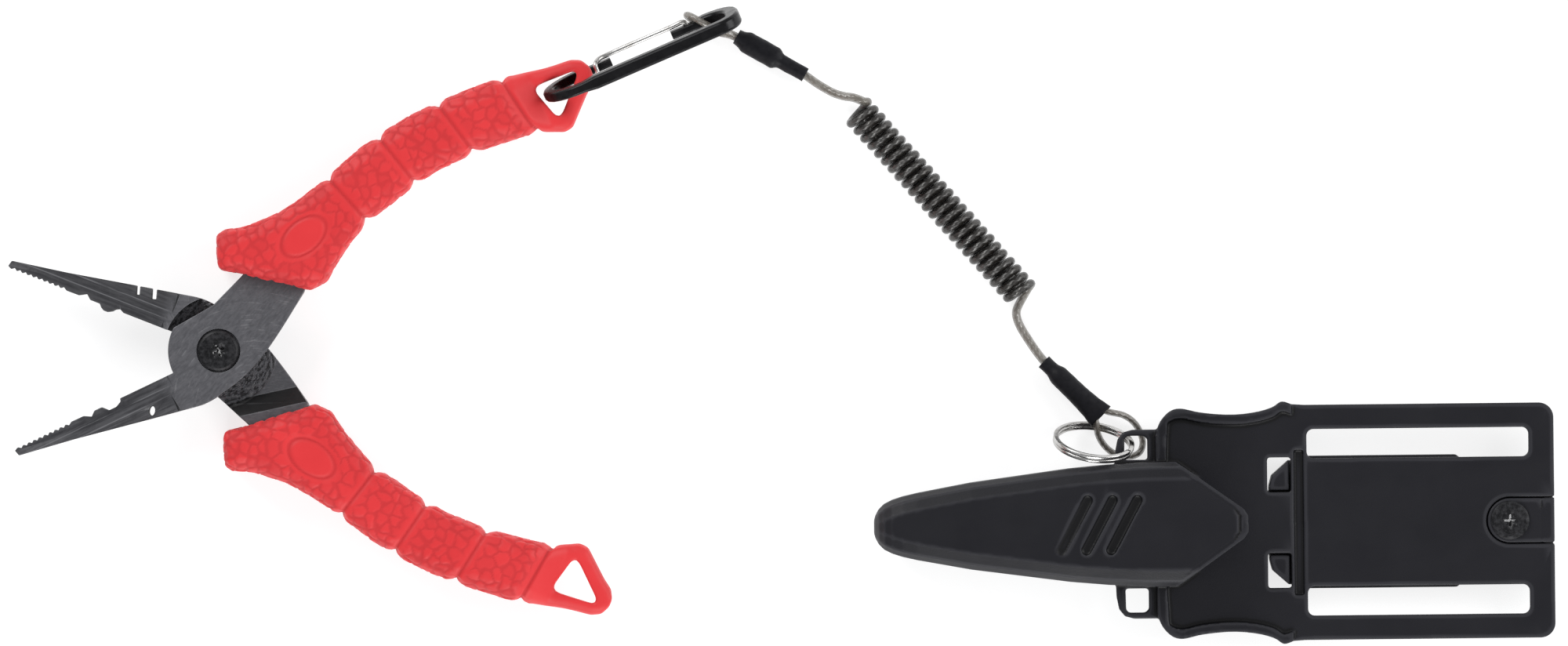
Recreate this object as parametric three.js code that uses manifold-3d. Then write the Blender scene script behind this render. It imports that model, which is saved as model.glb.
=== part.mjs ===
// Spring-opening fishing pliers on a coiled lanyard, with the belt sheath that the lanyard ties them to.
// Millimetres, +Z up. The set lies on the plane z = 0 as it is stored: pliers open at the left, sheath on
// its belt clip at the right, and the lanyard between them. The origin is below the middle of the set.
import * as THREE from "three";
import { mergeVertices } from "three/addons/utils/BufferGeometryUtils.js";
import Module from "manifold-3d";

const wasm = await Module();
wasm.setup();

const { degToRad } = THREE.MathUtils;
const GAP = 0.3; // running clearance between neighbouring pieces

// ---------------------------------------------------------------- driving dimensions

// Pliers: each half is drawn closed, jaw along -X and handle along +X, with the mid-plane at z = 0.
const PIVOT = [-136.9, -6.4];
const PLIERS_Z = 9; // mid-plane above the table
const FRONT_ANGLE = 25.5; // the half on top, turned open from the closed pose
const REAR_ANGLE = -21.3;
const STEEL_HALF = 4; // half the thickness of the steel
const HUB_R = 12.2;
const LAP_R = 13.3; // wall of the recess that the other half's hub turns in
const TIP_X = -55;
const CUT_Y = -GAP / 2; // gripping edge, half a gap off the centre line
const TOOTH_PITCH = 1.42;
const TOOTH_COUNT = 10;
const TOOTH_DEPTH = 0.6;
const SCREW_HEAD_R = 4.9;
const SCREW_R = 2.6;
const COUNTERBORE_Z = 3;
const SPRING_R = 6.6;
const SPRING_WIRE_R = 0.45;
const SPRING_POCKET_Z = 2;
const GRIP_HALF = 9;
const EYE_HALF = 3.2; // the grip's end is thinner where the eye goes through it

// Carabiner, drawn in its own plane: X along the spine, -Y towards the gate, Z across the bar.
const CARABINER_AT = [-33.5, 63.8, 18.45];
const CARABINER_HEADING = 23.4;
const CARABINER_TILT = 102.7; // it stands almost on edge, gate down
const CARABINER_DEPTH = 15; // spine centre to gate centre
const GATE_PIVOT_X = 12.5;
const GATE_WIRE_R = 0.6;

// Lanyard
const CORD_R = 1.05;
const LOOP_R = 0.8; // the same cable where it is looped back into a fitting
const COIL_START = [17, 52.7, 4.4];
const COIL_END = [58.4, 6.6, 4.4];
const COIL_R = 4.35; // outside radius of the curly cord
const HEAD_FITTING = { at: [-11.5, 69.8, 2.6], heading: -29.2 };
const TAIL_FITTING = { at: [76.6, -22.1, 4.3], heading: 136.1, dip: 5.2 };

// Split ring
const RING_AT = [75, -28.6, 9.8];
const RING_R = 9.3;
const RING_HEADING = -8;
const RING_TILT = -65.5;

// Sheath, drawn with its tip along -X
const SHEATH_AT = [90.2, -48.4];
const SHEATH_HEADING = 0.6;
const CLIP_T = 2;
const PLATE_Z = [6.2, 9.2];
const POCKET_TOP = 21.6;
const WALL = 2;
const PLATE_HALF = 28.5;
const PLATE_END = 96.5;
const SLOT = { x0: 36.6, x1: 90.4, y0: 15.5, y1: 22.6, r: 1.6 };
const WINDOW = { x0: 27, x1: 32.7, y0: 7.4, y1: 15.8, r: 0.4 };
const TAB_X = 85.7; // centre of the clip's screwed tab
const TAB_R = 5.4;
const CLIP_HEAD_R = 4.7;
const TAB_Z = 8.1;

// ---------------------------------------------------------------- materials

const finish = (color, metalness, roughness) =>
  new THREE.MeshStandardMaterial({ color, metalness, roughness });
const coatedSteel = finish(0x55565a, 0.9, 0.42);
const blackSteel = finish(0x121214, 0.8, 0.35);
const springSteel = finish(0xb9bbbd, 1, 0.3);
const redRubber = finish(0xd8343a, 0, 0.7);
const blackAluminium = finish(0x0c0c0e, 0.7, 0.3);
const blackNylon = finish(0x18181b, 0, 0.6);
const smokedVinyl = finish(0x3c3a36, 0, 0.35);
const cableSteel = finish(0x9a968c, 0.9, 0.4);
const shrinkTube = finish(0x17171a, 0, 0.65);

// ---------------------------------------------------------------- geometry helpers

const vec2 = ([x, y]) => new THREE.Vector2(x, y);
const vec3 = ([x, y, z]) => new THREE.Vector3(x, y, z);

function solid(geometry) {
  const bare = geometry.clone();
  bare.deleteAttribute("normal");
  bare.deleteAttribute("uv");
  const merged = mergeVertices(bare, 1e-4);
  return new wasm.Manifold(
    new wasm.Mesh({
      numProp: 3,
      vertProperties: merged.attributes.position.array,
      triVerts: new Uint32Array(merged.index.array),
    }),
  );
}

function geometryOf(manifold) {
  const mesh = manifold.getMesh();
  const geometry = new THREE.BufferGeometry();
  geometry.setAttribute("position", new THREE.BufferAttribute(mesh.vertProperties, 3));
  geometry.setIndex(new THREE.BufferAttribute(mesh.triVerts, 1));
  geometry.computeVertexNormals();
  return geometry;
}

// The outline (a Shape or a list of points) raised from z0 to z1.
function prism(outline, z0, z1) {
  const shape = outline instanceof THREE.Shape ? outline : new THREE.Shape(outline.map(vec2));
  const options = { depth: z1 - z0, bevelEnabled: false, curveSegments: 10 };
  return new THREE.ExtrudeGeometry(shape, options).translate(0, 0, z0);
}

const disc = (x, y, r, z0, z1, sides = 32) =>
  new THREE.CylinderGeometry(r, r, z1 - z0, sides)
    .rotateX(Math.PI / 2)
    .translate(x, y, (z0 + z1) / 2);

const block = (x0, x1, y0, y1, z0, z1) =>
  new THREE.BoxGeometry(x1 - x0, y1 - y0, z1 - z0)
    .translate((x0 + x1) / 2, (y0 + y1) / 2, (z0 + z1) / 2);

// A solid skinned over rings of points that all turn the same way round, closed at both ends.
function loft(rings) {
  const count = rings[0].length;
  const points = rings.flat();
  const faces = [];
  for (let i = 0; i + 1 < rings.length; i++) {
    for (let j = 0; j < count; j++) {
      const a = i * count + j;
      const b = i * count + ((j + 1) % count);
      faces.push(a, b, b + count, a, b + count, a + count);
    }
  }
  const last = (rings.length - 1) * count;
  for (let j = 1; j + 1 < count; j++) {
    faces.push(0, j + 1, j, last, last + j, last + j + 1);
  }
  const geometry = new THREE.BufferGeometry().setFromPoints(points);
  geometry.setIndex(faces);
  return geometry;
}

// A bar along X with rounded edges: stations of x, lowest and highest y, then either half its
// thickness or its lowest and highest z.
function tunnel(stations, corner) {
  const ring = ([x, y0, y1, low, high = low]) => {
    const z0 = low === high ? -high : low;
    const r = Math.min(corner, (y1 - y0) * 0.35, (high - z0) * 0.35);
    const c = 0.3 * r;
    const turned = (y, z, sy, sz) => [
      [y - sy * r, z], [y - sy * c, z - sz * c], [y, z - sz * r],
    ];
    return [
      ...turned(y1, high, 1, 1).reverse(),
      ...turned(y0, high, -1, 1),
      ...turned(y0, z0, -1, -1).reverse(),
      ...turned(y1, z0, 1, -1),
    ].map(([y, z]) => new THREE.Vector3(x, y, z));
  };
  return solid(loft(stations.map(ring)));
}

// A round tube along the points, as an extruded regular polygon.
function tube(points, radius, sides, steps) {
  const section = new THREE.Shape();
  for (let i = 0; i < sides; i++) {
    const angle = (2 * Math.PI * i) / sides;
    const corner = [radius * Math.cos(angle), radius * Math.sin(angle)];
    if (i) section.lineTo(...corner);
    else section.moveTo(...corner);
  }
  section.closePath();
  const extrudePath = new THREE.CatmullRomCurve3(points.map(vec3));
  return new THREE.ExtrudeGeometry(section, { extrudePath, steps, bevelEnabled: false });
}

const lathe = (profile, segments) =>
  new THREE.LatheGeometry(profile.map(vec2), segments).rotateX(Math.PI / 2);

function roundedRect(x0, x1, y0, y1, r, path = new THREE.Shape()) {
  path.moveTo(x0 + r, y0);
  path.absarc(x1 - r, y0 + r, r, -Math.PI / 2, 0);
  path.absarc(x1 - r, y1 - r, r, 0, Math.PI / 2);
  path.absarc(x0 + r, y1 - r, r, Math.PI / 2, Math.PI);
  path.absarc(x0 + r, y0 + r, r, Math.PI, 1.5 * Math.PI);
  path.closePath();
  return path;
}

const part = new THREE.Group();

function group(parent, { at = [0, 0, 0], heading = 0, tilt = 0, dip = 0 }) {
  const made = new THREE.Group();
  made.position.set(...at);
  made.rotation.set(degToRad(tilt), degToRad(dip), degToRad(heading), "ZYX");
  parent.add(made);
  return made;
}

function addPiece(parent, name, shape, material) {
  const geometry = shape.isBufferGeometry ? shape : geometryOf(shape);
  const mesh = new THREE.Mesh(geometry, material);
  mesh.name = name;
  parent.add(mesh);
}

// ---------------------------------------------------------------- pliers: steel halves

// The gripping edge from the tip to the hub: teeth, a crimping notch, then this half's own keying.
function grippingEdge(keying) {
  const edge = [];
  for (let i = 0; i < TOOTH_COUNT; i++) {
    const x = TIP_X + 1 + i * TOOTH_PITCH;
    edge.push([x, CUT_Y], [x + TOOTH_PITCH / 2, CUT_Y - TOOTH_DEPTH]);
  }
  edge.push([-39.6, CUT_Y], [-36.4, -0.2], [-34.6, -1.2], [-33.4, CUT_Y], ...keying);
  return edge;
}

const NOTCH = [[-31.5, CUT_Y], [-30.2, -1.6], [-28.2, -1.6], [-26.7, -0.9], [-26.5, CUT_Y]];
const BUMP = [
  [-30.9, CUT_Y], [-30.3, 0.55], [-29.5, 1.05], [-28.4, 1.05], [-27.4, 0.5],
  [-26.9, CUT_Y], [-25.8, -0.7], [-24.8, CUT_Y],
];

// The tang's centre line inside the grip: x, y, half width, direction across it in degrees.
const TANG = [
  [18.65, 8.85, 7.8, 140.7],
  [25.75, 13.4, 5.9, 129],
  [35, 17.2, 3.7, 112],
  [45.5, 20.6, 3.05, 107],
  [60.1, 23.5, 2.75, 96],
  [75, 24, 2.5, 87],
  [85.5, 22.6, 2.45, 80],
];

// Both sides of the tang, each side grown by the clearance.
function tangSides(clearance) {
  const side = (sign) =>
    TANG.map(([x, y, half, across]) => {
      const reach = sign * (half + clearance);
      return [x + reach * Math.cos(degToRad(across)), y + reach * Math.sin(degToRad(across))];
    });
  return { upper: side(1), lower: side(-1) };
}

function halfOutline(keying) {
  const { upper, lower } = tangSides(0);
  const shape = new THREE.Shape();
  shape.moveTo(TIP_X + 0.4, -2.1);
  shape.lineTo(TIP_X, -0.6);
  for (const point of grippingEdge(keying)) shape.lineTo(...point);
  shape.lineTo(-HUB_R, CUT_Y);
  shape.absarc(0, 0, HUB_R, Math.PI, degToRad(127.3), true);
  shape.lineTo(3.6, 10.5);
  for (const point of upper) shape.lineTo(...point);
  for (const point of lower.toReversed()) shape.lineTo(...point);
  shape.quadraticCurveTo(12.5, -4.4, 6.3, -7.1);
  shape.quadraticCurveTo(1, -9.2, -3.1, -9.6);
  shape.quadraticCurveTo(-7, -10.6, -10.4, -10);
  shape.lineTo(-21.7, -7.95);
  shape.lineTo(-41, -4.3);
  shape.closePath();
  return shape;
}

// Cross-sections of the steel along X. The jaw thins towards its tip, its outer side falls away
// from a crease, and the cutting stretch next to the hub has a bevelled inner edge.
function steelSection() {
  const ring = (x, top, inner, outer, innerY) => {
    const upper = [[innerY, inner], [-2.6, top], [-4.6, top], [-16, outer]];
    const lower = upper.map(([y, z]) => [y, -z]).reverse();
    return [...upper, ...lower].map(([y, z]) => new THREE.Vector3(x, y, z));
  };
  return solid(
    loft([
      ring(-56, 1.7, 1.7, 0.6, 3),
      ring(-42, 2.5, 2.5, 0.6, 3),
      ring(-27, 3.35, 3.35, 0.7, 3),
      ring(-25.6, 3.45, 2.6, 0.7, 3),
      ring(-15, 4, 3.1, 0.8, 3),
      ring(-13.6, STEEL_HALF, STEEL_HALF, STEEL_HALF, 3),
      ring(-12.8, STEEL_HALF, STEEL_HALF, STEEL_HALF, 40),
      ring(110, STEEL_HALF, STEEL_HALF, STEEL_HALF, 40),
    ]),
  );
}

// What the lap joint takes out of a half: the disc the other hub turns in, and a joggled band
// across the tang that leaves room for the other tang when the pliers close.
function lapCutter() {
  const direction = degToRad(-33.6);
  const wall = 12.5;
  const slope = 4.1;
  const below = -STEEL_HALF - 1;
  const lap = GAP / 2;
  const profile = [
    new THREE.Vector2(-4, below),
    new THREE.Vector2(wall + slope + 1, below),
    new THREE.Vector2(wall, lap),
    new THREE.Vector2(-4, lap),
  ];
  // The profile's first axis runs across the tang and its second is Z; the extrusion runs along it.
  const band = new THREE.ExtrudeGeometry(new THREE.Shape(profile), { depth: 60, bevelEnabled: false })
    .translate(0, 0, -30)
    .rotateX(Math.PI / 2)
    .rotateZ(direction + Math.PI / 2);
  return solid(disc(0, 0, LAP_R, below, lap, 48)).add(solid(band));
}

function steelHalf(keying, springLegAngle, details) {
  const legX = SPRING_R * Math.cos(springLegAngle);
  const legY = SPRING_R * Math.sin(springLegAngle);
  const pocket = solid(disc(0, 0, SPRING_R + 1.3, -1, SPRING_POCKET_Z, 32)).subtract(
    solid(disc(0, 0, SPRING_R - 1.3, -2, SPRING_POCKET_Z + 1, 32)),
  );
  let half = solid(prism(halfOutline(keying), -STEEL_HALF, STEEL_HALF))
    .intersect(steelSection())
    .subtract(lapCutter())
    .subtract(solid(disc(0, 0, SCREW_R + GAP, -5, 5)))
    .subtract(solid(disc(0, 0, SCREW_HEAD_R + 0.35, COUNTERBORE_Z, 5, 40)))
    .subtract(pocket)
    .subtract(solid(disc(legX, legY, 0.85, 0, SPRING_POCKET_Z + 1.2, 12)));
  for (const cut of details) half = half.subtract(solid(cut));
  return half;
}

// An oval hole through the lower jaw's outer side, for threading line.
const lineHole = () => {
  const oval = new THREE.Shape();
  oval.absellipse(-20.8, -6.25, 0.7, 1.15, 0, 2 * Math.PI, false, -0.62);
  return prism(oval, -5, 5);
};

// Two narrow slots in the other jaw's outer side, for holding small hooks and split shot.
const jawSlot = (x, y, half) => block(-half, half, -4, 1, -5, 5).rotateZ(-0.3).translate(x, y, 0);

// ---------------------------------------------------------------- pliers: grips

// Cross-sections of a grip along the handle: x, inner y, outer y, half thickness.
const GRIP = [
  [8.9, 17.6, 18.8, 7.4], [11.5, 15.8, 25.1, GRIP_HALF], [13.6, 14, 25.7, GRIP_HALF],
  [18.7, 9.9, 24.1, GRIP_HALF], [24, 5.7, 23.8, GRIP_HALF], [26.4, 3.8, 23.7, GRIP_HALF],
  [30.6, 4, 24.1, GRIP_HALF], [34.5, 6.8, 24.7, GRIP_HALF], [39, 9.5, 25.7, GRIP_HALF],
  [45.5, 12.8, 27.5, GRIP_HALF], [52, 14, 29.3, GRIP_HALF], [60, 16, 30.6, GRIP_HALF],
  [66.5, 16.8, 31.3, GRIP_HALF], [77, 16.8, 31.2, GRIP_HALF], [88, 15.4, 30.4, GRIP_HALF],
  [92, 14.6, 29.8, 6.8], [96.5, 12.5, 28.9, EYE_HALF], [98.5, 11.5, 28.4, EYE_HALF],
  [100.8, 11.8, 27.9, EYE_HALF], [103.5, 14.2, 27.5, EYE_HALF], [107.2, 17.5, 27.1, EYE_HALF],
  [109.6, 19.2, 25.9, EYE_HALF], [110.8, 21.5, 23.5, 2.8],
];

// The part of the eye's rounded triangle that is open.
const EYE = [[98.6, 15], [108.2, 24], [96, 24.8]];

function eyeCutter() {
  const shape = new THREE.Shape();
  const blend = 0.2; // share of each side that a rounded corner takes
  EYE.forEach((corner, i) => {
    const before = vec2(EYE[(i + 2) % 3]);
    const after = vec2(EYE[(i + 1) % 3]);
    const from = vec2(corner).lerp(before, blend);
    const to = vec2(corner).lerp(after, blend);
    if (i) shape.lineTo(from.x, from.y);
    else shape.moveTo(from.x, from.y);
    shape.quadraticCurveTo(...corner, to.x, to.y);
  });
  shape.closePath();
  return solid(prism(shape, -GRIP_HALF - 1, GRIP_HALF + 1));
}

function tangPocket() {
  const { upper, lower } = tangSides(GAP);
  const mouthDirection = degToRad(TANG[0][3] + 90);
  const mouth = ([x, y]) => [
    x + 9 * Math.cos(mouthDirection),
    y + 9 * Math.sin(mouthDirection),
  ];
  const last = TANG.length - 1;
  const outline = [
    mouth(lower[0]), ...lower, [lower[last][0] + 0.4, lower[last][1]],
    [upper[last][0] + 0.4, upper[last][1]], ...upper.toReversed(), mouth(upper[0]),
  ];
  return solid(prism(outline, -STEEL_HALF - GAP, STEEL_HALF + GAP));
}

const grip = () => tunnel(GRIP, 3.6).subtract(tangPocket()).subtract(eyeCutter());

// ---------------------------------------------------------------- pliers: pivot

function crossRecess(z, reach, width, depth) {
  const bar = () => block(-reach, reach, -width / 2, width / 2, z - depth, z + 1);
  return solid(bar()).add(solid(bar().rotateZ(Math.PI / 2)));
}

function pivotScrew() {
  const profile = [
    [0, -STEEL_HALF - 0.9], [SCREW_R, -STEEL_HALF - 0.9], [SCREW_R, COUNTERBORE_Z + GAP],
    [SCREW_HEAD_R, COUNTERBORE_Z + GAP], [SCREW_HEAD_R, 4.3], [4.3, 4.6], [0, 4.75],
  ];
  return solid(lathe(profile, 32)).subtract(crossRecess(4.7, 1.5, 0.6, 1.2));
}

// A hexagon nut in the rear half's counterbore, threaded on the screw's end.
function pivotNut() {
  const z0 = -STEEL_HALF - 0.8;
  const z1 = -COUNTERBORE_Z - GAP;
  return solid(disc(0, 0, SCREW_HEAD_R, z0, z1, 6))
    .subtract(solid(disc(0, 0, SCREW_R + GAP, z0 - 1, z1 + 1, 24)));
}

// The opening spring: almost two turns of wire round the screw, one leg let into each half.
const SPRING_TURNS = 1.75;
const SPRING_START = degToRad(150);

function pivotSpring() {
  const points = [];
  const perTurn = 12;
  const count = SPRING_TURNS * perTurn;
  const lift = 0.95;
  for (let i = 0; i <= count; i++) {
    const angle = SPRING_START + (2 * Math.PI * i) / perTurn;
    const z = lift * (2 * (i / count) - 1);
    points.push([SPRING_R * Math.cos(angle), SPRING_R * Math.sin(angle), z]);
  }
  const leg = (point, direction) => [point[0], point[1], direction * (SPRING_POCKET_Z + 0.8)];
  points.unshift(leg(points[0], -1));
  points.push(leg(points[points.length - 1], 1));
  return tube(points, SPRING_WIRE_R, 6, 60);
}

function buildPliers() {
  const pliers = group(part, { at: [...PIVOT, PLIERS_Z] });
  const front = group(pliers, { heading: FRONT_ANGLE });
  const rear = group(group(pliers, { heading: REAR_ANGLE }), { tilt: 180 });
  const upperLeg = SPRING_START + 2 * Math.PI * SPRING_TURNS;
  const lowerLeg = -(SPRING_START + degToRad(FRONT_ANGLE - REAR_ANGLE));
  const slots = [jawSlot(-23.4, -6.5, 0.4), jawSlot(-19.4, -6.9, 0.55)];
  addPiece(front, "front_half", steelHalf(NOTCH, upperLeg, [lineHole()]), coatedSteel);
  addPiece(rear, "rear_half", steelHalf(BUMP, lowerLeg, slots), coatedSteel);
  addPiece(front, "front_grip", grip(), redRubber);
  addPiece(rear, "rear_grip", grip(), redRubber);
  addPiece(front, "pivot_screw", pivotScrew(), blackSteel);
  addPiece(front, "pivot_nut", pivotNut(), blackSteel);
  addPiece(front, "pivot_spring", pivotSpring(), springSteel);
}

// ---------------------------------------------------------------- carabiner

// A flat bar of varying section along stations of x, y, half width in the plane and half thickness.
function bar(stations) {
  const rings = stations.map(([x, y, half, thick], i) => {
    const before = vec2(stations[Math.max(i - 1, 0)]);
    const after = vec2(stations[Math.min(i + 1, stations.length - 1)]);
    const along = after.sub(before).normalize();
    const chamfer = 0.35 * Math.min(half, thick);
    const section = [
      [half, -thick + chamfer], [half, thick - chamfer], [half - chamfer, thick],
      [-half + chamfer, thick], [-half, thick - chamfer], [-half, -thick + chamfer],
      [-half + chamfer, -thick], [half - chamfer, -thick],
    ];
    return section.map(([w, t]) => new THREE.Vector3(x - w * along.y, y + w * along.x, t));
  });
  return loft(rings);
}

function arc(cx, cy, rx, ry, from, to, count, half, thick) {
  const stations = [];
  for (let i = 0; i <= count; i++) {
    const angle = degToRad(from + ((to - from) * i) / count);
    stations.push([cx + rx * Math.cos(angle), cy + ry * Math.sin(angle), half, thick]);
  }
  return stations;
}

function carabinerFrame() {
  const low = -CARABINER_DEPTH;
  const stations = [
    [8.2, low, 1.5, 1], [14, low, 1.6, 1], [16, low, 1.7, 1.4],
    ...arc(16.9, low + 6.7, 6.7, 6.7, -90, 0, 6, 1.75, 1.55),
    ...arc(19.6, -4, 4, 4, 0, 90, 5, 1.75, 1.65),
    [0, 0, 1.75, 1.65], [-13, 0, 1.75, 1.65],
    ...arc(-16.4, low / 2, 8.1, -low / 2, 90, 270, 12, 1.5, 1.25),
    [-13, low, 1.5, 1], [-7.7, low, 1.4, 1],
  ];
  const pinHole = disc(GATE_PIVOT_X, low, GATE_WIRE_R + GAP, -3, 3, 16);
  return solid(bar(stations)).subtract(solid(pinHole));
}

// A sprung wire gate: two legs beside the frame, joined round the nose, with both ends in the frame.
function carabinerGate() {
  const y = -CARABINER_DEPTH;
  const side = 1 + GAP + GATE_WIRE_R;
  const leg = [
    [GATE_PIVOT_X, y, 0.25], [GATE_PIVOT_X, y, 1.3], [GATE_PIVOT_X - 0.5, y, side],
    [9, y, side], [-8, y, side], [-10.4, y + 0.9, side], [-11.6, y + 2.3, 1.2],
  ];
  const mirrored = leg.map(([px, py, pz]) => [px, py, -pz]).reverse();
  return tube([...leg, ...mirrored], GATE_WIRE_R, 8, 60);
}

function buildCarabiner() {
  const place = { at: CARABINER_AT, heading: CARABINER_HEADING, tilt: CARABINER_TILT };
  const carabiner = group(part, place);
  addPiece(carabiner, "carabiner_frame", carabinerFrame(), blackAluminium);
  addPiece(carabiner, "carabiner_gate", carabinerGate(), springSteel);
}

// ---------------------------------------------------------------- lanyard

// Routes in the order the cable runs. The head loop is in its fitting's own frame.
const HEAD_LOOP = [
  [1.6, 0.2, 0.85], [-1.8, 0, 1.2], [-4.9, -0.8, 3.2], [-7.8, -1.1, 4.45],
  [-9.9, -1.1, 4.6], [-11.9, -1.1, 3.7], [-13.1, -1.3, 1.6], [-12.7, -1.6, -0.7], [-11, -1.8, -1.7],
  [-8.3, -1.8, -1.75], [-4.4, -1.4, -1.5], [-1.8, -0.6, -1.1], [1.6, -0.2, -0.85],
];
const HEAD_LEAD = [
  [2.9, 61.7, 2.6], [5.2, 60.4, 2.6], [7.6, 58.7, 2.6], [10, 57.2, 2.9],
  [12.3, 56, 3.9], [14.6, 55.3, 5.2], [17, 54.9, 6.2],
];
const TAIL_LEAD = [
  [56.6, 3.8, 1.08], [56.4, 2.5, 1.05], [56.7, 1, 1.05], [57.6, -1, 1.15],
  [59.2, -3.6, 1.6], [61, -6.3, 2.2], [62.8, -8.6, 2.6], [64.7, -10.6, 2.8],
];
const TAIL_LOOP = [
  [75.6, -19.95, 4.1], [76.6, -20.4, 4.2], [77.7, -20.9, 4.3], [78.7, -21.25, 4.2],
  [80.2, -21.55, 3.85], [82.4, -22.1, 3.1], [84.7, -23.6, 2], [86.4, -26.1, 1.1],
  [87.1, -28.8, 0.85], [86.4, -31, 0.85], [84.6, -32, 0.85], [82, -31.9, 0.85],
  [79.9, -31.2, 0.9], [78.2, -29.9, 1.2], [76.9, -28.2, 2], [76.15, -26.5, 3.2],
  [75.95, -25.3, 3.9], [75.85, -24.3, 4.15], [75.5, -23.2, 4.25], [75, -22.1, 4.25],
  [74.4, -21.2, 4.1],
];

// Stations of a heat-shrunk sleeve: x, half width, half height. Its wide end takes the loop.
const HEAD_SLEEVE = [
  [0, 1.9, 2.45], [1.5, 2.1, 2.45], [2.6, 2.7, 2.45], [10.9, 2.75, 2.45], [12, 1.85, 1.85],
  [19.1, 1.75, 1.75],
];
const TAIL_SLEEVE = [
  [-0.4, 3.5, 1.65], [2.6, 2.9, 1.9], [7, 2.6, 2.3], [14.2, 2.5, 2.3], [16, 1.85, 1.85],
  [18.8, 1.85, 1.85],
];

function sleeve(stations) {
  const skin = (inset, overrun) => {
    const last = stations.length - 1;
    return solid(
      loft(
        stations.map(([x, wide, high], i) => {
          const reach = x + (i === 0 ? -overrun : 0) + (i === last ? overrun : 0);
          const ring = [];
          const squareness = 1 - 0.5 * Math.max(0, 1 - high / wide);
          const round = (v) => Math.sign(v) * Math.abs(v) ** squareness;
          for (let k = 0; k < 14; k++) {
            const angle = (2 * Math.PI * k) / 14;
            const y = (wide - inset) * round(Math.cos(angle));
            const z = (high - inset) * round(Math.sin(angle));
            ring.push(new THREE.Vector3(reach, y, z));
          }
          return ring;
        }),
      ),
    );
  };
  return skin(0, 0).subtract(skin(0.32, 0.5));
}

const ferrule = (x0, x1) => disc(0, 0, 1.4, x0, x1, 16).rotateY(Math.PI / 2);

// One closed cylinder of the curly cord's outside size, between the coil's two ends.
function coilBody() {
  const start = vec3(COIL_START);
  const along = vec3(COIL_END).sub(start);
  const length = along.length();
  const body = new THREE.CylinderGeometry(COIL_R, COIL_R, length, 20);
  const turn = new THREE.Quaternion()
    .setFromUnitVectors(new THREE.Vector3(0, 1, 0), along.clone().normalize());
  return body.applyQuaternion(turn).translate(...start.addScaledVector(along, 0.5).toArray());
}

function buildLanyard() {
  const head = group(part, HEAD_FITTING);
  const tail = group(part, TAIL_FITTING);
  addPiece(head, "head_loop", tube(HEAD_LOOP, LOOP_R, 8, 40), smokedVinyl);
  addPiece(head, "head_ferrule", ferrule(2.2, 8.2), cableSteel);
  addPiece(head, "head_sleeve", sleeve(HEAD_SLEEVE), shrinkTube);
  addPiece(part, "head_lead", tube(HEAD_LEAD, CORD_R, 8, 10), smokedVinyl);
  addPiece(part, "lanyard_coil", coilBody(), smokedVinyl);
  addPiece(part, "tail_lead", tube(TAIL_LEAD, CORD_R, 8, 10), smokedVinyl);
  addPiece(tail, "tail_sleeve", sleeve(TAIL_SLEEVE), shrinkTube);
  addPiece(tail, "tail_ferrule", ferrule(5.5, 13), cableSteel);
  addPiece(part, "tail_loop", tube(TAIL_LOOP, LOOP_R, 8, 40), smokedVinyl);
}

function buildSplitRing() {
  const place = { at: RING_AT, heading: RING_HEADING, tilt: RING_TILT };
  const section = [
    [RING_R - 0.6, -0.95], [RING_R + 0.6, -0.95], [RING_R + 0.6, 0.95], [RING_R - 0.6, 0.95],
    [RING_R - 0.6, -0.95],
  ];
  addPiece(group(part, place), "split_ring", lathe(section, 40), springSteel);
}

// ---------------------------------------------------------------- sheath

// Half widths of the flared mouth plate along X.
const FLARE = [
  [0, 21.6], [1.2, 24.8], [3.6, 27.3], [6.4, 27.9], [11, 26.9], [18, 26.3], [24, 26.8],
  [28.4, 28], [30.6, 29.4], [33, 28.7],
];

function flareSide(inset) {
  const curve = new THREE.SplineCurve(FLARE.map(([x, half]) => new THREE.Vector2(x, half - inset)));
  return curve.getPoints(26).map(({ x, y }) => [x, y]);
}

function plateShape() {
  const shape = new THREE.Shape();
  const side = flareSide(0);
  const corner = 3.6;
  const right = PLATE_END - corner;
  shape.moveTo(side[0][0], -side[0][1]);
  for (const [x, y] of side.slice(1)) shape.lineTo(x, -y);
  shape.lineTo(36, -PLATE_HALF);
  shape.absarc(right, -PLATE_HALF + corner, corner, -Math.PI / 2, 0);
  shape.absarc(right, PLATE_HALF - corner, corner, 0, Math.PI / 2);
  shape.lineTo(36, PLATE_HALF);
  for (const [x, y] of side.slice(1).reverse()) shape.lineTo(x, y);
  shape.lineTo(side[0][0], side[0][1]);
  shape.closePath();
  for (const { x0, x1, y0, y1, r } of [SLOT, WINDOW]) {
    shape.holes.push(roundedRect(x0, x1, y0, y1, r, new THREE.Path()));
    shape.holes.push(roundedRect(x0, x1, -y1, -y0, r, new THREE.Path()));
  }
  return shape;
}

// A raised lip that follows the mouth plate's front edge and the flare on one side.
function flareRim(sign) {
  const width = 2.4;
  const inner = flareSide(width).filter(([x]) => x > width);
  const outline = [[0, 15], ...flareSide(0), ...inner.reverse(), [width, 15]];
  const points = outline.map(([x, y]) => [x, sign * y]);
  return solid(prism(points, PLATE_Z[1] - 0.5, PLATE_Z[1] + 1));
}

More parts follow.
